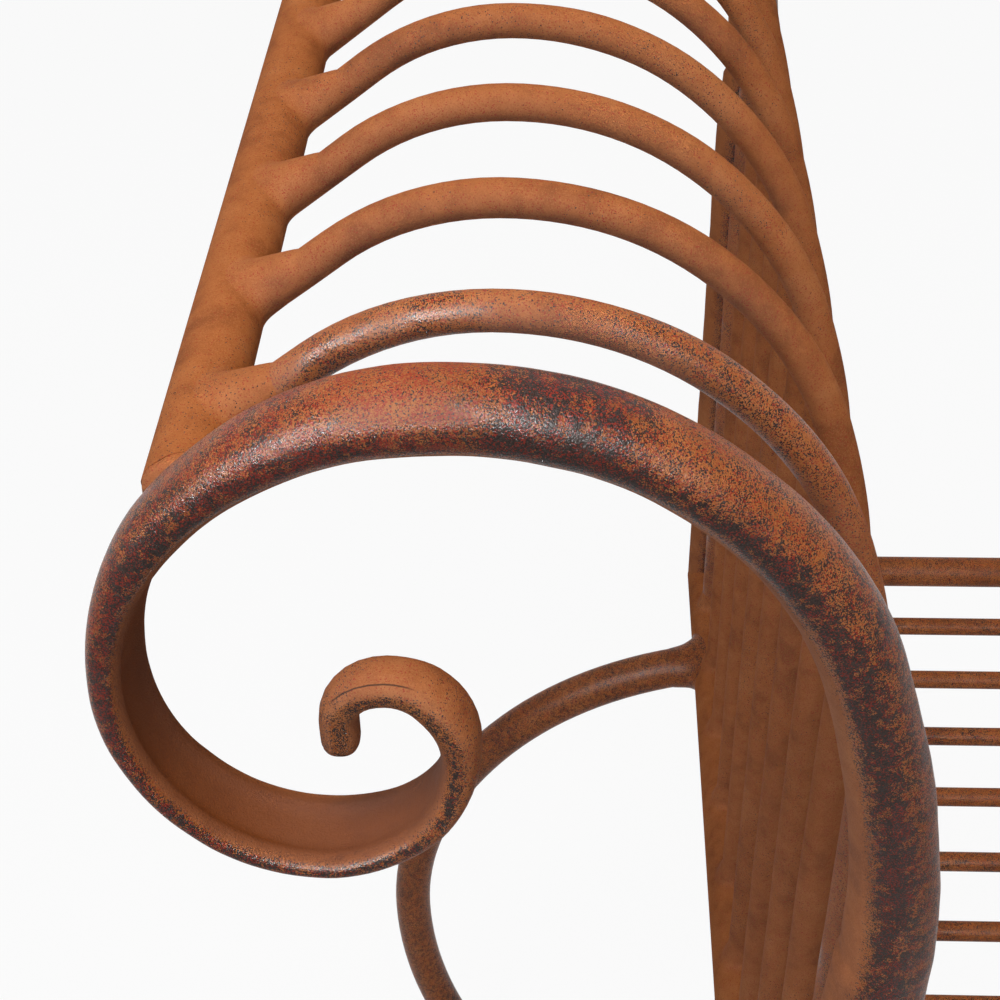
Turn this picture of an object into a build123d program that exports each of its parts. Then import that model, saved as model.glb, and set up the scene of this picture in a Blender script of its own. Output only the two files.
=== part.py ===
"""Welded iron garden chair: a rolled back with scrolled posts, a rod seat and four curved legs.

Millimetres. Z is up from the floor, X is across the chair and the front faces -Y.
The origin is on the floor, in the middle of the chair's outline. Left is -X.
"""

import os
from math import cos, radians, sin

from build123d import *

# Bars and tubes
rod_diameter = 9.0
seat_bar_diameter = 16.0
tube_diameter = 22.0
tube_wall = 2.0
leg_diameter = 20.0
leg_wall = 1.5
rail_diameter = 17.0
saddle = 1.0  # how deep a bar is notched where it crosses a tube

# Back
back_rod_count = 10
back_rod_pitch = 45.0
back_end_gap = 33.4  # from the outermost back rod to the post beside it
rod_y = 118.4  # middle of the straight rods and of the rear tube
top_height = 910.5  # centreline of the rods and posts at the top of the roll
lean_angle = 18.0
shoulder_angle = 34.0
rod_lean_radius = 232.5
rod_shoulder_radius = 97.5
rod_crown_radius = 76.5
roll_radius = 62.0  # behind the top
roll_turn = 38.0  # past the top, from where the rods run straight to the top rail
rail_angle = 61.7  # where the top rail lies, past the top of the roll
rail_stand_off = 9.8  # from the circle of the roll out to the middle of the top rail
rail_inset = 9.0  # how far the rail's ends stop short of the middle of the posts

# Posts: each curve is a little wider than the matching curve of the rods
post_forward = 3.4  # how far the straight posts stand in front of the rods
post_lean_extra = 90.0
post_shoulder_extra = 7.5
post_crown_extra = 6.0
post_foot_drop = 16.0  # how far a post runs below the middle of the seat rods

# Scroll: radius and turn of each stretch past the top, then the straight tip
scroll_extra = 16.5  # how much wider the scroll starts than the roll of the rods
scroll_turns = [
    (roll_radius + scroll_extra, 45),
    (68.5, 45),
    (59, 45),
    (37, 45),
    (31.5, 90),
    (20, 45),
    (13, 45),
    (11, 90),
]
scroll_tip = 5.0
scroll_step = 9.0  # turn between two sections of the scroll
# Turn past the top, width across the chair and thickness of the bar there
scroll_sizes = [
    (0, tube_diameter, tube_diameter),
    (45, 22.5, 15),
    (90, 23, 9.5),
    (135, 23.5, 7.5),
    (180, 23.5, 7),
    (225, 22, 7),
    (270, 17, 7.5),
    (360, 11.5, 7.5),
    (450, 9.5, 7.5),
]
scroll_edge = 0.42  # share of a flattened section's thickness that its rounded edge stands out
scroll_crown = 0.5  # swell of a flattened face

# Seat
seat_height = 450.0  # top of the seat rods
seat_rod_count = 11
seat_front_y = -228.0  # where the straight rods start to roll down
seat_roll_radius = 45.0
seat_roll_angle = 72.0

# Legs: each curve's radius and turn, from the tube down
front_tube_y = -121.2
leg_x = 168.0
leg_start_angle = 8.0
leg_arm_radius = 182.0
leg_arm_angle = 38.0
leg_knee_radius = 215.0
leg_calf_radius = 320.0
leg_calf_angle = 20.0
leg_foot = 25.0  # straight end of a front leg, above its cap

# Plastic plugs and foot caps
cap_thickness = 4.0
cap_stem = 12.0
plug_thickness = 2.0
plug_stem = 10.0
plug_clearance = 0.1

# Places worked out from the sizes above
rod_radius = rod_diameter / 2
tube_radius = tube_diameter / 2
leg_radius = leg_diameter / 2
rail_radius = rail_diameter / 2
seat_bar_radius = seat_bar_diameter / 2
post_x = back_rod_pitch * (back_rod_count - 1) / 2 + back_end_gap
seat_pitch = 2 * post_x / (seat_rod_count + 1)
seat_z = seat_height - rod_radius
front_tube_z = seat_z - rod_radius - tube_radius + saddle
seat_bar_z = seat_z - rod_radius + seat_bar_radius
seat_roll_z = seat_z - seat_roll_radius
front_rail_reach = seat_roll_radius + rod_radius - saddle
front_rail_y = seat_front_y - front_rail_reach * sin(radians(seat_roll_angle))
front_rail_z = seat_roll_z + front_rail_reach * cos(radians(seat_roll_angle))
front_half = post_x + seat_bar_radius
post_y = rod_y - post_forward
post_foot_z = seat_z - post_foot_drop
cross_tubes = [
    ("rear_tube", rod_y, seat_z, post_x),
    ("front_tube", front_tube_y, front_tube_z, front_half),
    ("front_rail", front_rail_y, front_rail_z, front_half),
]


def rise(radius, start, turn):
    """Height gained along an arc that leans from start degrees off vertical by turn degrees."""
    return radius * (sin(radians(start + turn)) - sin(radians(start)))


def run(radius, start, turn):
    """Distance rearward along the same arc."""
    return radius * (cos(radians(start)) - cos(radians(start + turn)))


def back_stretches(lean_radius, shoulder_radius, crown_radius):
    """The arcs from the straight back up to the top, each as radius, starting lean and turn."""
    bent = lean_angle + shoulder_angle
    return [
        (lean_radius, 0, lean_angle),
        (shoulder_radius, lean_angle, shoulder_angle),
        (crown_radius, bent, 90 - bent),
    ]


rod_stretches = back_stretches(rod_lean_radius, rod_shoulder_radius, rod_crown_radius)
post_stretches = back_stretches(
    rod_lean_radius + post_lean_extra,
    rod_shoulder_radius + post_shoulder_extra,
    rod_crown_radius + post_crown_extra,
)
# The drop of a leg's arc is worked out as the run of the back's arcs is, but from level
knee_start_angle = leg_start_angle + leg_arm_angle
knee_angle = 90 - knee_start_angle
arm_drop = run(leg_arm_radius, leg_start_angle, leg_arm_angle)
knee_drop = run(leg_knee_radius, knee_start_angle, knee_angle)
calf_drop = run(leg_calf_radius, 90, leg_calf_angle)
ankle_drop = front_tube_z - arm_drop - knee_drop - calf_drop - leg_foot - cap_thickness
leg_ankle_radius = ankle_drop / sin(radians(leg_calf_angle))
roll_y = rod_y + sum(run(*stretch) for stretch in rod_stretches)
roll_z = top_height - roll_radius
top_rail_reach = roll_radius + rail_stand_off
top_rail_y = roll_y + top_rail_reach * sin(radians(rail_angle))
top_rail_z = roll_z + top_rail_reach * cos(radians(rail_angle))
# The straight end of a rod is as long as the rail is far, measured along the rod
rod_end = top_rail_reach * sin(radians(rail_angle - roll_turn))


def back_curve(x, y, foot_z, stretches, over_top):
    """Centreline in the plane at x: straight up from the foot, the arcs, then maybe over the top."""
    straight_top = top_height - sum(rise(*stretch) for stretch in stretches)
    with BuildLine(Plane.YZ.offset(x)) as curve:
        piece = Line((y, foot_z), (y, straight_top))
        for radius, start, turn in stretches:
            piece = JernArc(piece @ 1, piece % 1, radius, -turn)
        if over_top:
            roll = JernArc(piece @ 1, piece % 1, roll_radius, -roll_turn)
            PolarLine(roll @ 1, rod_end, direction=roll % 1)
    return curve.wire()


def across(y, z):
    """Location of a cylinder that lies across the chair."""
    return Locations(Location((0, y, z), (0, 90, 0)))


def finish(piece, name):
    piece.part.label = name
    export_step(piece.part, f"parts/{name}.step")


def between(turn, column):
    """Size of the scroll's bar at a turn past the top, read along its list of sizes."""
    for low, high in zip(scroll_sizes, scroll_sizes[1:]):
        if turn <= high[0]:
            share = (turn - low[0]) / (high[0] - low[0])
            return low[column] + share * (high[column] - low[column])
    return scroll_sizes[-1][column]


def scroll_section(plane, turn):
    """One section of the scroll: round at the top, then flatter and wider, with four curved sides."""
    width = between(turn, 1)
    thick = between(turn, 2)
    flat = min(1, turn / scroll_sizes[2][0])
    round_off = 0.5 - cos(radians(45)) / 2
    crown = thick * round_off * (1 - flat) + scroll_crown * flat
    edge = thick * (round_off * (1 - flat) + scroll_edge * flat)
    half_width = width / 2 - edge
    half_thick = thick / 2 - crown
    with BuildSketch(plane) as section:
        with BuildLine():
            outer = ThreePointArc((-half_width, half_thick), (0, thick / 2), (half_width, half_thick))
            right = ThreePointArc(outer @ 1, (width / 2, 0), (half_width, -half_thick))
            inner = ThreePointArc(right @ 1, (0, -thick / 2), (-half_width, -half_thick))
            ThreePointArc(inner @ 1, (-width / 2, 0), outer @ 0)
        make_face()
    return section.sketch


def scroll_sections(x, bend):
    """Sections along the scroll that carries on from the end of a post's bend."""
    sections = []
    turned = 0
    point = bend @ 1
    direction = bend % 1
    for radius, turn in scroll_turns:
        with BuildLine(Plane.YZ.offset(x)):
            arc = JernArc(point, direction, radius, -turn)
        steps = round(turn / scroll_step)
        for step in range(steps):
            share = step / steps
            plane = Plane(arc @ share, x_dir=(1, 0, 0), z_dir=arc % share)
            sections.append(scroll_section(plane, turned + share * turn))
        turned += turn
        point = arc @ 1
        direction = arc % 1
    tip = Plane(point, x_dir=(1, 0, 0), z_dir=direction)
    sections.append(scroll_section(tip, turned))
    sections.append(scroll_section(tip.offset(scroll_tip), turned))
    return sections


os.makedirs("parts", exist_ok=True)

# Posts: a tube bent over the top, then flattened, widened and curled into a scroll
posts = []
for side, x in (("left", -post_x), ("right", post_x)):
    bend = back_curve(x, post_y, post_foot_z, post_stretches, False)
    with BuildPart() as back_post:
        with BuildSketch(Plane(bend @ 0, x_dir=(1, 0, 0), z_dir=bend % 0)):
            Circle(tube_radius)
        sweep(path=bend)
        with BuildSketch(Plane(bend @ 0, x_dir=(1, 0, 0), z_dir=bend % 0)):
            Circle(tube_radius - tube_wall)
        sweep(path=bend, mode=Mode.SUBTRACT)
        loft(scroll_sections(x, bend), ruled=True)
    finish(back_post, f"back_post_{side}")
    posts.append(back_post.part)

# Top rail: a solid round bar whose ends are fitted to the insides of the scrolls
with BuildPart() as top_rail:
    with across(top_rail_y, top_rail_z):
        Cylinder(rail_radius, 2 * (post_x - rail_inset))
    for post in posts:
        add(post, mode=Mode.SUBTRACT)
finish(top_rail, "top_rail")

# Cross tubes: between the posts, under the seat and along the front edge
for name, y, z, half in cross_tubes:
    with BuildPart() as cross_tube:
        with across(y, z):
            Cylinder(tube_radius, 2 * half)
            Cylinder(tube_radius - tube_wall, 2 * half, mode=Mode.SUBTRACT)
        with Locations((-post_x, post_y, post_foot_z), (post_x, post_y, post_foot_z)):
            Cylinder(tube_radius, top_height, mode=Mode.SUBTRACT)
    finish(cross_tube, name)

# Back rods: from the rear tube up the back and over the roll to the top rail
for number in range(back_rod_count):
    x = (number - (back_rod_count - 1) / 2) * back_rod_pitch
    rod_line = back_curve(x, rod_y, seat_z, rod_stretches, True)
    with BuildPart() as back_rod:
        with BuildSketch(Plane(rod_line @ 0, x_dir=(1, 0, 0), z_dir=rod_line % 0)):
            Circle(rod_radius)
        sweep(path=rod_line)
        with across(rod_y, seat_z):
            Cylinder(tube_radius, 2 * post_x, mode=Mode.SUBTRACT)
        with across(top_rail_y, top_rail_z):
            Cylinder(rail_radius, 2 * post_x, mode=Mode.SUBTRACT)
    finish(back_rod, f"back_rod_{number + 1}")


def seat_curve(x, back_y, z):
    """Centreline of a seat bar: straight forward, then rolled down over the front edge."""
    with BuildLine(Plane.YZ.offset(x)) as curve:
        flat = Line((back_y, z), (seat_front_y, z))
        JernArc(flat @ 1, flat % 1, z - seat_roll_z, seat_roll_angle)
    return curve.wire()


# Seat: the rods end on the rear tube, the two side bars end on the posts
seat_bars = [("seat_bar_left", -post_x, post_y, seat_bar_z, seat_bar_radius)]
for number in range(1, seat_rod_count + 1):
    rod_x = number * seat_pitch - post_x
    seat_bars.append((f"seat_rod_{number}", rod_x, rod_y, seat_z, rod_radius))
seat_bars.append(("seat_bar_right", post_x, post_y, seat_bar_z, seat_bar_radius))
for name, x, back_y, z, radius in seat_bars:
    bar_line = seat_curve(x, back_y, z)
    with BuildPart() as seat_bar:
        with BuildSketch(Plane(bar_line @ 0, x_dir=(1, 0, 0), z_dir=bar_line % 0)):
            Circle(radius)
        sweep(path=bar_line)
        for _, tube_y, tube_z, half in cross_tubes:
            with across(tube_y, tube_z):
                Cylinder(tube_radius, 2 * half, mode=Mode.SUBTRACT)
        if radius == seat_bar_radius:
            with Locations((x, post_y, post_foot_z)):
                Cylinder(tube_radius, top_height, mode=Mode.SUBTRACT)
    finish(seat_bar, name)

# Legs: bent tubes welded to the cross tubes, with caps in their feet
for end, outward, tube_y, tube_z in (
    ("rear", 1, rod_y, seat_z),
    ("front", -1, front_tube_y, front_tube_z),
):
    for side, x in (("left", -leg_x), ("right", leg_x)):
        start = (outward * cos(radians(leg_start_angle)), -sin(radians(leg_start_angle)))
        with BuildLine(Plane.YZ.offset(x)) as leg_line:
            arm = JernArc((tube_y, tube_z), start, leg_arm_radius, -outward * leg_arm_angle)
            knee = JernArc(arm @ 1, arm % 1, leg_knee_radius, -outward * knee_angle)
            calf = JernArc(knee @ 1, knee % 1, leg_calf_radius, -outward * leg_calf_angle)
            ankle = JernArc(calf @ 1, calf % 1, leg_ankle_radius, outward * leg_calf_angle)
            PolarLine(ankle @ 1, (ankle @ 1).Z - cap_thickness, direction=ankle % 1)
        path = leg_line.wire()
        with BuildPart() as leg:
            with BuildSketch(Plane(path @ 0, x_dir=(1, 0, 0), z_dir=path % 0)):
                Circle(leg_radius)
                Circle(leg_radius - leg_wall, mode=Mode.SUBTRACT)
            sweep(path=path)
            with across(tube_y, tube_z):
                Cylinder(tube_radius, 2 * post_x, mode=Mode.SUBTRACT)
        finish(leg, f"{end}_leg_{side}")

        foot = path @ 1
        with BuildPart() as foot_cap:
            with BuildSketch(Plane.XY):
                with Locations((foot.X, foot.Y)):
                    Circle(leg_radius)
            extrude(amount=cap_thickness)
            with BuildSketch(Plane.XY.offset(cap_thickness)):
                with Locations((foot.X, foot.Y)):
                    Circle(leg_radius - leg_wall - plug_clearance)
            extrude(amount=cap_stem)
        finish(foot_cap, f"foot_cap_{end}_{side}")

# Plugs in the feet of the posts and in the open ends of the two front tubes
plug_seats = [((x, post_y, post_foot_z), (0, 0, 1)) for x in (-post_x, post_x)]
for _, y, z, half in cross_tubes[1:]:
    plug_seats += [((-half, y, z), (1, 0, 0)), ((half, y, z), (-1, 0, 0))]
with BuildPart() as tube_plugs:
    for seat, inward in plug_seats:
        with BuildSketch(Plane(seat, z_dir=inward)):
            Circle(tube_radius)
        extrude(amount=-plug_thickness)
        with BuildSketch(Plane(seat, z_dir=inward)):
            Circle(tube_radius - tube_wall - plug_clearance)
        extrude(amount=plug_stem)
finish(tube_plugs, "tube_plugs")
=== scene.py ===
from math import cos, pi, radians, sin

import bmesh
import bpy
from mathutils import Matrix, Quaternion, Vector, noise


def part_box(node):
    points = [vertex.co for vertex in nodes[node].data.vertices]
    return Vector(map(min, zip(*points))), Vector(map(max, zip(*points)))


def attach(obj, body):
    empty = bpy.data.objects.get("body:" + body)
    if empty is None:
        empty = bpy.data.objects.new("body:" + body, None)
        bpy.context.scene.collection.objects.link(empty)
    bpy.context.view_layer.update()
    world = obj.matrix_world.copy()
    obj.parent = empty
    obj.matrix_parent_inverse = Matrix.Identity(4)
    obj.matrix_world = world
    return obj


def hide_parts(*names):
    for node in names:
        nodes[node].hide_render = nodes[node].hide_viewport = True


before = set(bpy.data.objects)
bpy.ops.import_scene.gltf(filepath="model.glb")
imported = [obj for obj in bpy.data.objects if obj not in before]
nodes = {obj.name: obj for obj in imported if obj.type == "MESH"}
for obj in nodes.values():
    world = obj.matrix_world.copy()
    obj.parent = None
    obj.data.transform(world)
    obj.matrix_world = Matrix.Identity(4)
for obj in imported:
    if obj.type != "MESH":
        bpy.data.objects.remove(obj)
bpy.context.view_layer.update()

# Cross tubes and top rail: round iron tube and bar, welded between the posts and under the seat.
# They wear the sprayed finish of the whole chair: orange rust dusted over dark iron, which shows
# through as fine charcoal and red flecks.


def add_node(tree, kind, **values):
    """Put a node in a tree; values name its settings, or its inputs by name."""
    made = tree.nodes.new(kind)
    for name, value in values.items():
        if hasattr(made, name):
            setattr(made, name, value)
        else:
            made.inputs[name.replace("_", " ")].default_value = value
    return made


def join(tree, start, socket, end, place):
    """Link a node's named output to another node's named input."""
    tree.links.new(start.outputs[socket], end.inputs[place])


def reckon(tree, operation, first, second=0.0):
    """A Math node fed by sockets or plain numbers."""
    made = add_node(tree, "ShaderNodeMath", operation=operation)
    for place, value in ((0, first), (1, second)):
        if isinstance(value, (int, float)):
            made.inputs[place].default_value = value
        else:
            tree.links.new(value, made.inputs[place])
    return made.outputs[0]


def product(tree, first, *others):
    """Sockets or numbers multiplied together."""
    for other in others:
        first = reckon(tree, "MULTIPLY", first, other)
    return first


def ramp(tree, value, low, high, bottom=0.0, top=1.0):
    """A smooth step of a socket between two values."""
    made = add_node(
        tree, "ShaderNodeMapRange", interpolation_type="SMOOTHSTEP",
        From_Min=low, From_Max=high, To_Min=bottom, To_Max=top,
    )
    tree.links.new(value, made.inputs["Value"])
    return made.outputs["Result"]


def blend(tree, share, first, second):
    """Mix two colours, each a socket or three numbers."""
    made = add_node(tree, "ShaderNodeMix", data_type="RGBA")
    tree.links.new(share, made.inputs[0])
    for place, value in ((6, first), (7, second)):
        if isinstance(value, tuple):
            made.inputs[place].default_value = (*value, 1)
        else:
            tree.links.new(value, made.inputs[place])
    return made.outputs[2]


def speckle(tree, vector, size, detail=2.0):
    """Noise whose blots are about size metres across."""
    made = add_node(tree, "ShaderNodeTexNoise", Scale=1 / size, Detail=detail, Roughness=0.55)
    tree.links.new(vector, made.inputs["Vector"])
    return made.outputs["Fac"]


rust_dark = (0.250, 0.069, 0.016)
rust_mid = (0.372, 0.110, 0.026)
rust_pale = (0.450, 0.155, 0.046)
iron_black = (0.010, 0.009, 0.009)
iron_grey = (0.046, 0.040, 0.038)
primer_red = (0.300, 0.027, 0.013)

sprayed_rust = bpy.data.node_groups.new("sprayed_rust", "ShaderNodeTree")
for name, way, kind in (
    ("Vector", "INPUT", "NodeSocketVector"),
    ("Bare", "INPUT", "NodeSocketFloat"),
    ("Red", "INPUT", "NodeSocketFloat"),
    ("Colour", "OUTPUT", "NodeSocketColor"),
    ("Roughness", "OUTPUT", "NodeSocketFloat"),
    ("Height", "OUTPUT", "NodeSocketFloat"),
):
    sprayed_rust.interface.new_socket(name, in_out=way, socket_type=kind)
tree = sprayed_rust
into = tree.nodes.new("NodeGroupInput")
out = tree.nodes.new("NodeGroupOutput")
place = into.outputs["Vector"]
mottle = speckle(tree, place, 0.030, 3.0)
cloud = speckle(tree, place, 0.006, 3.0)
grain = speckle(tree, place, 0.0005)
dark_clumps = ramp(tree, speckle(tree, place, 0.0030), 0.30, 0.70, 0.5, 1.5)
red_clumps = ramp(tree, speckle(tree, place, 0.0042), 0.32, 0.70, 0.45, 1.6)

# Each drop of spray is one cell of ragged edge, with three random numbers of its own
drop_size, stir_size, stir_reach = 0.00025, 0.0006, 0.00012
stir = add_node(tree, "ShaderNodeTexNoise", Scale=1 / stir_size, Detail=1.0)
tree.links.new(place, stir.inputs["Vector"])
shift = add_node(tree, "ShaderNodeVectorMath", operation="MULTIPLY_ADD")
shift.inputs[1].default_value = (stir_reach, stir_reach, stir_reach)
tree.links.new(stir.outputs["Color"], shift.inputs[0])
tree.links.new(place, shift.inputs[2])
drops = add_node(tree, "ShaderNodeTexVoronoi", Scale=1 / drop_size)
tree.links.new(shift.outputs[0], drops.inputs["Vector"])
dice = add_node(tree, "ShaderNodeSeparateColor")
tree.links.new(drops.outputs["Color"], dice.inputs[0])
iron_dice, red_dice, tone_dice = dice.outputs[0], dice.outputs[1], dice.outputs[2]

# Rust from dark to pale in clouds and from drop to drop
tone = reckon(tree, "ADD", product(tree, mottle, 0.6), product(tree, cloud, 0.4))
rust = blend(tree, ramp(tree, tone, 0.36, 0.52), rust_dark, rust_mid)
rust = blend(tree, ramp(tree, tone, 0.50, 0.66, 0.0, 0.7), rust, rust_pale)
rust = blend(tree, ramp(tree, tone_dice, 0.55, 1.0, 0.0, 0.45), rust, rust_pale)
rust = blend(tree, ramp(tree, tone_dice, 0.40, 0.0, 0.0, 0.45), rust, rust_dark)

# Flecks of bare iron, and red drops over both
iron = blend(tree, ramp(tree, tone_dice, 0.20, 1.0), iron_black, iron_grey)
flecks = reckon(tree, "LESS_THAN", iron_dice, product(tree, into.outputs["Bare"], dark_clumps))
red_drops = reckon(tree, "LESS_THAN", red_dice, product(tree, into.outputs["Red"], red_clumps))
mixed = blend(tree, product(tree, flecks, 0.95), rust, iron)
mixed = blend(tree, product(tree, red_drops, 0.80), mixed, primer_red)
tree.links.new(mixed, out.inputs["Colour"])

# Rust is dull; where much iron is bare the coat is smoother, and some flakes shine
worn = ramp(tree, into.outputs["Bare"], 0.03, 0.40)
rough = reckon(tree, "SUBTRACT", 0.84, product(tree, worn, 0.50))
flakes = product(tree, flecks, ramp(tree, tone_dice, 0.45, 0.90, 0.04, 0.22))
tree.links.new(reckon(tree, "SUBTRACT", rough, flakes), out.inputs["Roughness"])
height = reckon(tree, "ADD", product(tree, grain, 0.8), product(tree, cloud, 1.6))
height = reckon(tree, "ADD", height, product(tree, red_dice, 0.5))
tree.links.new(height, out.inputs["Height"])


def iron_finish(name, bare, patch, red=0.06, gloss=0.05, grit=0.0002):
    """The sprayed finish as a material; bare iron shows in patches from a low to a high share."""
    made = bpy.data.materials.new(name)
    made.use_nodes = True
    tree = made.node_tree
    shader = tree.nodes["Principled BSDF"]
    where = tree.nodes.new("ShaderNodeTexCoord").outputs["Object"]
    coat = add_node(tree, "ShaderNodeGroup", node_tree=sprayed_rust)
    tree.links.new(where, coat.inputs["Vector"])
    bare_low, bare_high = bare
    patches = ramp(tree, speckle(tree, where, patch), 0.46, 0.70, bare_low, bare_high)
    tree.links.new(patches, coat.inputs["Bare"])
    coat.inputs["Red"].default_value = red
    join(tree, coat, "Colour", shader, "Base Color")
    join(tree, coat, "Roughness", shader, "Roughness")
    shader.inputs["Specular IOR Level"].default_value = gloss
    bump = add_node(tree, "ShaderNodeBump", Strength=0.9, Distance=grit)
    join(tree, coat, "Height", bump, "Height")
    join(tree, bump, "Normal", shader, "Normal")
    return made


def dress(node_names, finish):
    """Give CAD nodes a material."""
    for name in node_names:
        nodes[name].data.materials.clear()
        nodes[name].data.materials.append(finish)


tube_finish = iron_finish("tube_rust", bare=(0.0, 0.05), patch=0.06, red=0.03)
dress(["top_rail", "rear_tube", "front_tube", "front_rail"], tube_finish)

# Legs: bent iron tubes welded to the rear and front cross tubes, each weld dressed to a smooth
# flare under the same sprayed rust, darker here. Moulded plastic caps are pushed into their feet.
leg_finish = iron_finish("leg_rust", bare=(0.40, 0.62), patch=0.05, red=0.10)
ends = [(end, side) for end in ("rear", "front") for side in ("left", "right")]
dress([f"{end}_leg_{side}" for end, side in ends], leg_finish)


def weld(shell, tube_spot, tube_radius, bar_spot, bar_radius, flare):
    """Stub of a tube across the chair, and a collar that narrows from it to a spot on a welded bar.

    The flare is how much wider the collar starts along the tube; round the tube it stays inside.
    """
    reach = (bar_spot - tube_spot).length
    across = Matrix.Translation(tube_spot) @ Matrix.Rotation(radians(90), 4, "Y")
    bmesh.ops.create_cone(
        shell, cap_ends=True, segments=48, radius1=tube_radius, radius2=tube_radius,
        depth=2 * (bar_radius + reach), matrix=across,
    )
    aimed = (bar_spot - tube_spot).to_track_quat("Z", "Y").to_matrix().to_4x4()
    inside_tube, sunk = 0.96, 0.0001
    wide = min(bar_radius + flare, tube_radius * inside_tube)
    collar = bmesh.ops.create_cone(
        shell, cap_ends=True, segments=48, radius1=wide, radius2=bar_radius - sunk,
        depth=reach, matrix=Matrix.Translation((tube_spot + bar_spot) / 2) @ aimed,
    )["verts"]
    for vert in collar:
        if (vert.co - tube_spot).length < (vert.co - bar_spot).length:
            vert.co.x += (vert.co.x - tube_spot.x) * ((bar_radius + flare) / wide - 1)


def melt(made):
    """Run the stubs of a piece together into smooth fillets; away from them they sink into the bars."""
    fused = made.modifiers.new("fused", "REMESH")
    fused.mode = "VOXEL"
    fused.voxel_size = 0.0009
    fused.use_smooth_shade = True
    eased_over = made.modifiers.new("eased", "SMOOTH")
    eased_over.factor = 0.5
    eased_over.iterations = 30


def settle(shell, name, finish):
    """Turn finished faces into a smooth-shaded piece of the chair."""
    bmesh.ops.recalc_face_normals(shell, faces=shell.faces)
    for face in shell.faces:
        face.smooth = True
    mesh = bpy.data.meshes.new(name)
    shell.to_mesh(mesh)
    shell.free()
    mesh.materials.append(finish)
    made = bpy.data.objects.new(name, mesh)
    bpy.context.scene.collection.objects.link(made)
    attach(made, "root")
    return made


def middle(node):
    """Centre of a node's box."""
    low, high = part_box(node)
    return (Vector(low) + Vector(high)) / 2


leg_radius, tube_radius = 0.010, 0.011
leg_fall, leg_bow = radians(8), 0.182  # slope and bend of a leg where it leaves its tube
collars = ((0.025, 0.006), (0.0175, 0.016))  # reach along the leg and flare
flares = bmesh.new()
for end, side in ends:
    tube = middle(f"{end}_tube")
    tube.x = middle(f"{end}_leg_{side}").x
    outward_y = 1 if end == "rear" else -1
    for reach, flare in collars:
        sag = reach * reach / (2 * leg_bow)
        spot = tube + Vector((0, outward_y * reach * cos(leg_fall), -reach * sin(leg_fall) - sag))
        weld(flares, tube, tube_radius, spot, leg_radius, flare)
melt(settle(flares, "leg_welds", leg_finish))


def plastic_finish(name, colour, worn):
    """Moulded plastic: fine spark-eroded grain, and paler scuffs."""
    made = bpy.data.materials.new(name)
    made.use_nodes = True
    tree = made.node_tree
    shader = tree.nodes["Principled BSDF"]
    where = tree.nodes.new("ShaderNodeTexCoord").outputs["Object"]
    scuffs = ramp(tree, speckle(tree, where, 0.004, 4.0), 0.52, 0.70, 0.0, 0.7)
    tree.links.new(blend(tree, scuffs, colour, worn), shader.inputs["Base Color"])
    tree.links.new(ramp(tree, scuffs, 0.0, 1.0, 0.48, 0.72), shader.inputs["Roughness"])
    bump = add_node(tree, "ShaderNodeBump", Strength=0.3, Distance=0.0002)
    tree.links.new(speckle(tree, where, 0.0006), bump.inputs["Height"])
    join(tree, bump, "Normal", shader, "Normal")
    return made


cap_finish = plastic_finish("cap_plastic", (0.030, 0.026, 0.024), (0.085, 0.075, 0.068))
dress([f"foot_cap_{end}_{side}" for end, side in ends], cap_finish)

# Seat: round iron rods side by side between two thicker bars, rolled down over the front rail and
# welded to it and to the cross tubes. More dark iron shows through their rust than on the back.
seat_finish = iron_finish("seat_rust", bare=(0.30, 0.54), patch=0.05, red=0.10)
dress([name for name in nodes if name.startswith("seat_")], seat_finish)

# Back rods: slim round iron bars from the rear tube up the back and over the roll to the top rail,
# drawn anew with a slight unevenness and welded at both ends with smooth flares. Rust lies thick
# on them; the two beside the posts show some bare iron.
rod_finish = iron_finish("back_rod_rust", bare=(0.0, 0.06), patch=0.045, red=0.07, gloss=0.07)
end_rod_finish = iron_finish("end_rod_rust", bare=(0.08, 0.42), patch=0.040, red=0.14, gloss=0.11)
rods = [f"back_rod_{number}" for number in range(1, 11)]
rod_radius, rail_radius = 0.0045, 0.0085
rod_points, rod_gap = 24, 0.004
rod_y, rod_foot, rod_top = 0.1184, 0.4455, 0.9105
rod_bends = [(0.2325, 18), (0.0975, 34), (0.0765, 38), (0.0620, 38)]
rod_end = 0.0289
foot_growth, full_growth_below, no_growth_above = 0.0008, 0.66, 0.80


def reached(value, low, high):
    """How far a value has gone from low to high, from 0 to 1."""
    return min(1.0, max(0.0, (value - low) / (high - low)))


def eased(value, low, high):
    """The same as a smooth step."""
    share = reached(value, low, high)
    return share * share * (3 - 2 * share)


def bent_line(y, foot, top, bends, end, gap):
    """Points up a straight, round bends that reach the top height at a quarter turn, and out straight.

    Each point has its place in the side view and the turn so far.
    """
    rise, turned = 0.0, 0.0
    for radius, turn in bends:
        share = max(0.0, min(turn, 90 - turned))
        rise += radius * (sin(radians(turned + share)) - sin(radians(turned)))
        turned += turn
    z = top - rise
    straight_steps, end_steps = 60, 3
    line = [(y, foot + (z - foot) * step / straight_steps, 0.0) for step in range(straight_steps)]
    turned = 0.0
    for radius, turn in bends:
        steps = max(6, round(radius * radians(turn) / gap))
        for step in range(steps):
            lean = turned + turn * step / steps
            line.append((
                y + radius * (cos(radians(turned)) - cos(radians(lean))),
                z + radius * (sin(radians(lean)) - sin(radians(turned))),
                lean,
            ))
        y += radius * (cos(radians(turned)) - cos(radians(turned + turn)))
        z += radius * (sin(radians(turned + turn)) - sin(radians(turned)))
        turned += turn
    for step in range(end_steps + 1):
        reach = end * step / end_steps
        line.append((y + reach * sin(radians(turned)), z + reach * cos(radians(turned)), turned))
    return line


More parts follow.
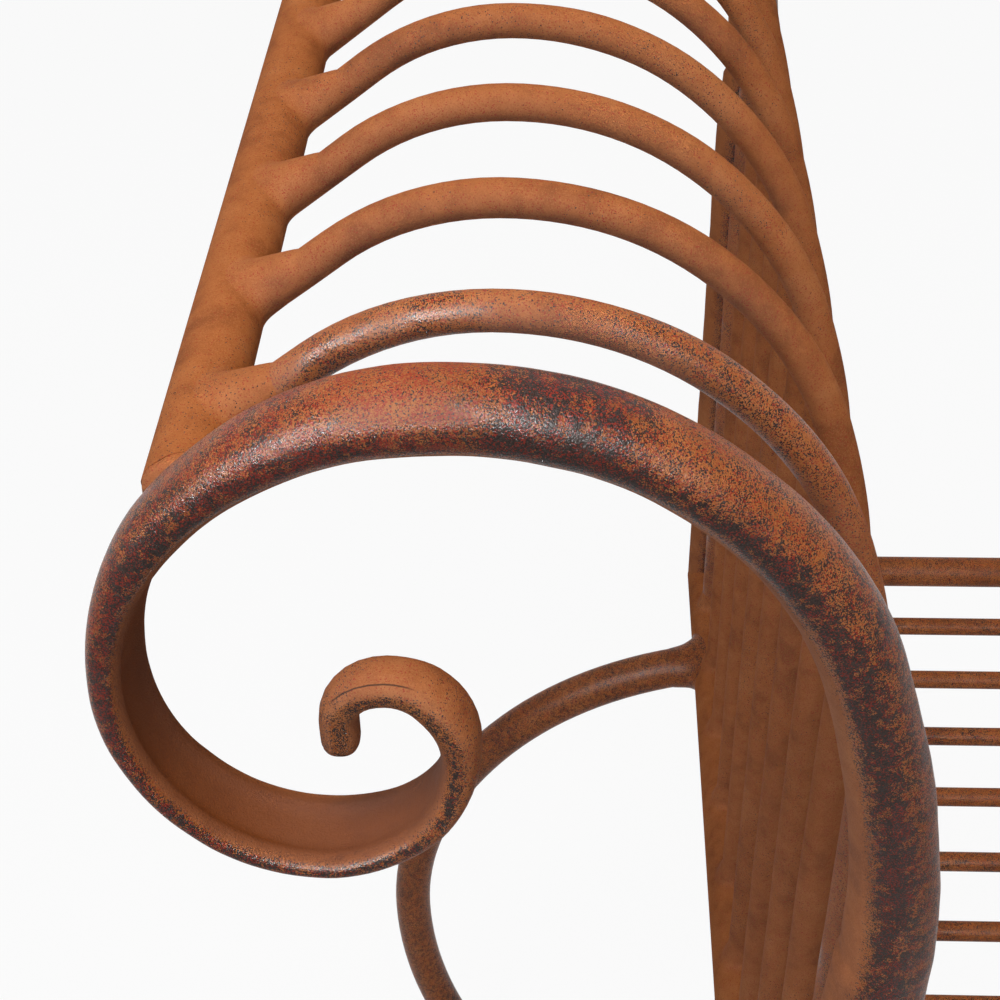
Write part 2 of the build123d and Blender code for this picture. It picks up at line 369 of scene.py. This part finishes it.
def skin(shell, rings):
    """A closed tube of faces through rings of points: one circle, extruded from ring to ring."""
    count = len(rings[0])
    circle = bmesh.ops.create_circle(shell, segments=count, radius=1)["verts"]
    loops = [list(circle)]
    for _ in rings[1:]:
        edges = [shell.edges.get((loops[-1][step - 1], loops[-1][step])) for step in range(count)]
        grown = bmesh.ops.extrude_edge_only(shell, edges=edges)["geom"]
        new = {part for part in grown if isinstance(part, bmesh.types.BMVert)}
        follow = {}
        for vert in new:
            for edge in vert.link_edges:
                if edge.other_vert(vert) not in new:
                    follow[edge.other_vert(vert)] = vert
        loops.append([follow[vert] for vert in loops[-1]])
    for loop, ring in zip(loops, rings):
        for vert, spot in zip(loop, ring):
            vert.co = spot
    for loop in (loops[0], loops[-1]):
        bmesh.ops.contextual_create(shell, geom=loop)
    return loops


def make_rod(name, finish):
    """One round rod, drawn a little thicker towards its foot."""
    x = middle(name).x
    rings = []
    for y, z, turn in bent_line(rod_y, rod_foot, rod_top, rod_bends, rod_end, rod_gap):
        lean = radians(turn)
        outward = Vector((0, -cos(lean), sin(lean)))
        radius = rod_radius
        if turn < 60:
            radius += foot_growth * (1 - eased(z, full_growth_below, no_growth_above))
        ring = []
        for step in range(rod_points):
            angle = 2 * pi * step / rod_points
            way = Vector((cos(angle), 0, 0)) + outward * sin(angle)
            spot = Vector((x, y, z)) + way * radius
            ring.append(spot + way * (noise.noise(spot * 45) * 0.00014))
        rings.append(ring)
    shell = bmesh.new()
    skin(shell, rings)
    made = settle(shell, name.replace("back", "round"), finish)
    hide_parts(name)


# A rod comes down to the rail past the top of the roll, its middle a little inside the rail's
roll_past_top = radians(38)
rail_beside, rail_reach, rail_flare = 0.00375, 0.022, 0.006
foot_reach, foot_flare = 0.020, 0.004
back_from_rail = Vector((0, -cos(roll_past_top), sin(roll_past_top)))
into_roll = Vector((0, -sin(roll_past_top), -cos(roll_past_top)))
rail, tube = middle("top_rail"), middle("rear_tube")
rail_flares, foot_flares = bmesh.new(), bmesh.new()
for name in rods:
    make_rod(name, end_rod_finish if name in (rods[0], rods[-1]) else rod_finish)
    rail.x = tube.x = middle(name).x
    spot = rail + into_roll * rail_beside + back_from_rail * rail_reach
    weld(rail_flares, rail, rail_radius, spot, rod_radius, rail_flare)
    spot = tube + Vector((0, 0, foot_reach))
    weld(foot_flares, tube, tube_radius, spot, rod_radius + foot_growth, foot_flare)
melt(settle(rail_flares, "rail_welds", rod_finish))
melt(settle(foot_flares, "rod_foot_welds", rod_finish))

# Posts: iron tube bent over the top, pressed flatter and flatter round the roll, and drawn out
# into a scroll that ends in a small blunt curl. Each is one piece from its foot to its tip, its
# rust worn to dark iron on the side and over the crown.
post_x = 0.2359
post_y = 0.1150
post_foot = 0.4295
post_top = 0.9105
# Radius and turn of each bend from the straight post on, as the tube goes over and round
bends = [
    (0.3225, 18),
    (0.1050, 34),
    (0.0825, 38),
    (0.0785, 45),
    (0.0685, 45),
    (0.0605, 45),
    (0.0370, 45),
    (0.0315, 90),
    (0.0225, 45),
    (0.0130, 45),
    (0.0110, 90),
]
whole_turn = 540
# Turn from the straight post, width across the chair, thickness, and how square the section is
pressing = [
    (0, 0.0230, 0.0228, 2.0),
    (10, 0.0222, 0.0202, 2.0),
    (18, 0.0212, 0.0184, 2.0),
    (52, 0.0194, 0.0168, 2.0),
    (90, 0.0192, 0.0170, 2.0),
    (135, 0.0206, 0.0126, 2.2),
    (180, 0.0230, 0.0089, 2.6),
    (225, 0.0235, 0.0072, 2.7),
    (270, 0.0235, 0.0068, 2.7),
    (315, 0.0210, 0.0080, 2.6),
    (360, 0.0165, 0.0094, 2.5),
    (450, 0.0120, 0.0092, 2.4),
    (whole_turn, 0.0100, 0.0088, 2.4),
]
foot_size, straight_depth, straight_shift = 0.0222, 0.0256, 0.0014
ring_points, ring_gap = 48, 0.0024
seam, seam_depth = 8, 0.0004  # the point of a ring where the curl was folded shut
tip_length, tip_sizes = 0.006, [0.97, 0.88, 0.70, 0.42, 0.05]


def pressed(turn):
    """Width, thickness and squareness of the post where it has turned so far."""
    for low, high in zip(pressing, pressing[1:]):
        if turn <= high[0]:
            share = eased(turn, low[0], high[0])
            return [a + share * (b - a) for a, b in zip(low[1:], high[1:])]
    return pressing[-1][1:]


def dished(turn, across):
    """How far the inner face is pressed in, where the tube was flattened."""
    depth = 0.0024 * reached(turn, 110, 170) * reached(turn, 345, 265)
    return depth * max(0.0, 1 - (across / 0.62) ** 4)


def power_of(value, power):
    """A signed power."""
    return abs(value) ** power * (1 if value > 0 else -1)


def make_post(name, side):
    """One post; its points carry the place round the section and the turn for the material."""
    line = bent_line(post_y, post_foot, post_top, bends, tip_length, ring_gap)
    tip_start = len(line)
    line += [line[-1]] * len(tip_sizes)
    rings, marks = [], []
    for number, (y, z, turn) in enumerate(line):
        lean = radians(turn)
        width, thick, square = pressed(turn)
        grow = 1.0
        if number >= tip_start:
            grow = tip_sizes[number - tip_start]
            reach = thick * 0.42 * sin(pi / 2 * (number - tip_start + 1) / len(tip_sizes))
            y += reach * sin(lean)
            z += reach * cos(lean)
        if turn == 0:
            up = reached(z, post_foot, post_foot + 0.012)
            ease = eased(z, 0.70, 0.775)
            width = foot_size + up * (width - foot_size)
            thick = foot_size + up * (straight_depth - foot_size) + ease * (thick - straight_depth)
            y += straight_shift * up * (1 - ease)
        outward = Vector((0, -cos(lean), sin(lean)))
        centre = Vector((side * post_x, y, z))
        # Down the back of the scroll the section is turned a little, its outer edge staying put
        tilt = 0.15 * reached(turn, 105, 140) * reached(turn, 215, 175)
        ring = []
        for step in range(ring_points):
            angle = 2 * pi * step / ring_points
            flat = power_of(cos(angle), 2 / square)
            deep = power_of(sin(angle), 2 / square)
            radial = deep * thick / 2
            if deep < 0:
                radial -= dished(turn, flat) * deep
            if step == seam:
                radial -= seam_depth * reached(turn, 415, 445)
            across = flat * width / 2
            sideways = cos(tilt) * across - sin(tilt) * radial
            away = sin(tilt) * (across - width / 2) + cos(tilt) * radial
            offset = (Vector((side * sideways, 0, 0)) + outward * away) * grow
            spot = centre + offset
            ripple = noise.noise(spot * 55) * 0.00022 + noise.noise(spot * 160) * 0.00008
            ring.append(spot + offset.normalized() * ripple)
            marks.append((0.5 - deep * 0.5, 0.5 + flat * 0.5, turn / whole_turn))
        rings.append(ring)
    shell = bmesh.new()
    layers = [shell.verts.layers.float.new(mark) for mark in ("inner_face", "out_side", "turn")]
    loops = skin(shell, rings)
    for vert, values in zip((vert for loop in loops for vert in loop), marks):
        for layer, value in zip(layers, values):
            vert[layer] = value
    return settle(shell, name, scroll_finish)


def along(tree, turn, stops):
    """A value read along the post: pairs of turn in degrees and value."""
    curve = add_node(tree, "ShaderNodeValToRGB")
    tree.links.new(turn, curve.inputs["Fac"])
    elements = curve.color_ramp.elements
    while len(elements) < len(stops):
        elements.new(0.5)
    for element, (degrees, value) in zip(elements, stops):
        element.position = degrees / whole_turn
        element.color = (value, value, value, 1)
    return curve.outputs["Color"]


# Where the dark iron and the red show along the post, and how that changes round its section
bare_stops = [
    (0, 0.74), (30, 0.54), (62, 0.34), (67, 0.92), (82, 0.90), (86, 0.22), (102, 0.26), (112, 0.50),
    (130, 0.52), (165, 0.52), (230, 0.46), (300, 0.34), (380, 0.16), (440, 0.02), (540, 0.0),
]
red_stops = [
    (0, 0.22), (50, 0.20), (84, 0.22), (88, 0.40), (112, 0.36), (140, 0.24), (175, 0.36), (250, 0.28),
    (330, 0.08), (540, 0.02),
]
# painted shade colour for the shaded hollow inside the scroll
hollow_shade_brown = (0.150, 0.036, 0.006)
# painted shade colour for the dark line in the fold crease of the curl
fold_shade_black = (0.020, 0.008, 0.004)
scroll_finish = iron_finish("scroll_rust", bare=(0.0, 1.0), patch=0.034, gloss=0.085, grit=0.0003)
tree = scroll_finish.node_tree
coat = next(part for part in tree.nodes if part.type == "GROUP")
patches = coat.inputs["Bare"].links[0].from_socket
inner_face, out_side, turn_share = [
    add_node(tree, "ShaderNodeAttribute", attribute_name=name).outputs["Fac"]
    for name in ("inner_face", "out_side", "turn")
]
outer = ramp(tree, inner_face, 0.90, 0.62)
beside = product(tree, ramp(tree, out_side, 0.45, 0.85, 0.0, 0.50), ramp(tree, inner_face, 0.24, 0.52))
bare = reckon(tree, "ADD", along(tree, turn_share, bare_stops), beside)
bare = reckon(tree, "ADD", bare, product(tree, patches, 0.22))
tree.links.new(product(tree, reckon(tree, "SUBTRACT", bare, 0.06), outer), coat.inputs["Bare"])
tree.links.new(product(tree, along(tree, turn_share, red_stops), outer), coat.inputs["Red"])

# Painted shade: the hollow inside of the scroll is darkened to a duller brown where the roll above
# shades it, and the fold line of the curl is painted dark as the shade in its crease
hollow_shade_mask = product(
    tree,
    ramp(tree, inner_face, 0.70, 0.96),
    ramp(tree, turn_share, 0.15, 0.30),
    ramp(tree, turn_share, 0.80, 0.62, 0.3, 0.85),
)
# painted shade: a dark line along the fold crease of the curl, where shade gathers in the groove
off_fold = reckon(tree, "ABSOLUTE", reckon(tree, "SUBTRACT", out_side, 0.86))
fold_shade_mask = product(
    tree,
    ramp(tree, off_fold, 0.006, 0.020, 0.85, 0.0),
    ramp(tree, inner_face, 0.45, 0.35),
    ramp(tree, turn_share, 0.78, 0.81),
    ramp(tree, turn_share, 0.95, 0.92),
)
colour = blend(tree, hollow_shade_mask, coat.outputs["Colour"], hollow_shade_brown)
colour = blend(tree, fold_shade_mask, colour, fold_shade_black)
tree.links.new(colour, tree.nodes["Principled BSDF"].inputs["Base Color"])
for name, side in (("left", -1), ("right", 1)):
    post = make_post(f"scroll_post_{name}", side)
    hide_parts(f"back_post_{name}")

# Plugs: moulded plastic discs pushed into the posts' feet and the ends of the front tubes.
# Dark brown, with a fine grain and pale scuffs.
plug_finish = plastic_finish("plug_plastic", (0.075, 0.042, 0.028), (0.140, 0.085, 0.060))
dress(["tube_plugs"], plug_finish)

# Floor, light and camera: a pale floor that keeps the shadow, a soft lamp above the chair's left,
# a long one beside it that shows only in the sheen, a weak one in front, and the close view down
# the side of the back.
floor_white, sky_light = 0.93, 0.14


def white_seen(tree, shader, shown):
    """White for the camera and in reflections; the shader lights everything else."""
    path = tree.nodes.new("ShaderNodeLightPath")
    seen = reckon(tree, "MAXIMUM", path.outputs["Is Camera Ray"], path.outputs["Is Glossy Ray"])
    seen = reckon(tree, "MAXIMUM", seen, path.outputs["Is Transmission Ray"])
    mix = tree.nodes.new("ShaderNodeMixShader")
    tree.links.new(product(tree, seen, shown), mix.inputs[0])
    tree.links.new(shader.outputs[0], mix.inputs[1])
    return mix


floor_mesh = bpy.data.meshes.new("floor")
sheet = bmesh.new()
bmesh.ops.create_grid(sheet, x_segments=1, y_segments=1, size=20)
sheet.to_mesh(floor_mesh)
sheet.free()
floor = bpy.data.objects.new("floor", floor_mesh)
bpy.context.scene.collection.objects.link(floor)
floor_paint = bpy.data.materials.new("floor_paint")
floor_paint.use_nodes = True
tree = floor_paint.node_tree
paint = tree.nodes["Principled BSDF"]
paint.inputs["Base Color"].default_value = (0.70, 0.70, 0.70, 1)
paint.inputs["Roughness"].default_value = 0.9
glow = add_node(tree, "ShaderNodeEmission", Strength=1.0)
mix = white_seen(tree, paint, floor_white)
tree.links.new(glow.outputs[0], mix.inputs[2])
tree.links.new(mix.outputs[0], tree.nodes["Material Output"].inputs["Surface"])
floor.data.materials.append(floor_paint)

sky = bpy.data.worlds.new("studio")
bpy.context.scene.world = sky
sky.use_nodes = True
tree = sky.node_tree
dim = tree.nodes["Background"]
dim.inputs["Color"].default_value = (1, 1, 1, 1)
dim.inputs["Strength"].default_value = sky_light
white = add_node(tree, "ShaderNodeBackground", Strength=1.0, Color=(1, 1, 1, 1))
mix = white_seen(tree, dim, 1.0)
tree.links.new(white.outputs[0], mix.inputs[2])
tree.links.new(mix.outputs[0], tree.nodes["World Output"].inputs["Surface"])

aim = Vector((-0.20, 0.20, 0.86))
for name, spot, size, power in (
    ("top_lamp", (-0.75, 0.35, 2.30), (0.7, 0.7), 31),
    ("side_lamp", (-1.15, 0.60, 1.55), (2.0, 0.15), 260),
    ("front_lamp", (0.6, -1.8, 1.5), (1.5, 1.5), 3),
):
    lamp = bpy.data.lights.new(name, "AREA")
    lamp.energy = power
    lamp.shape = "RECTANGLE"
    lamp.size, lamp.size_y = size
    holder = bpy.data.objects.new(name, lamp)
    bpy.context.scene.collection.objects.link(holder)
    holder.location = spot
    holder.visible_diffuse = name != "side_lamp"
    holder.rotation_euler = (aim - holder.location).to_track_quat("-Z", "Y").to_euler()

view_tilt, view_yaw, view_roll = radians(39.627), radians(2.887), radians(-1.338)
camera = bpy.data.cameras.new("side_view")
camera.lens = 66.45
camera.sensor_width = 36.0
camera.clip_start = 0.02
stand = bpy.data.objects.new("side_view", camera)
bpy.context.scene.collection.objects.link(stand)
stand.location = (-0.5168, 0.1930, 1.1209)
look = Vector((cos(view_tilt) * cos(view_yaw), cos(view_tilt) * sin(view_yaw), -sin(view_tilt)))
view_turn = look.to_track_quat("-Z", "Y") @ Quaternion((0, 0, 1), view_roll)
stand.rotation_euler = view_turn.to_euler()
bpy.context.scene.camera = stand
bpy.context.scene.view_settings.view_transform = "Standard"
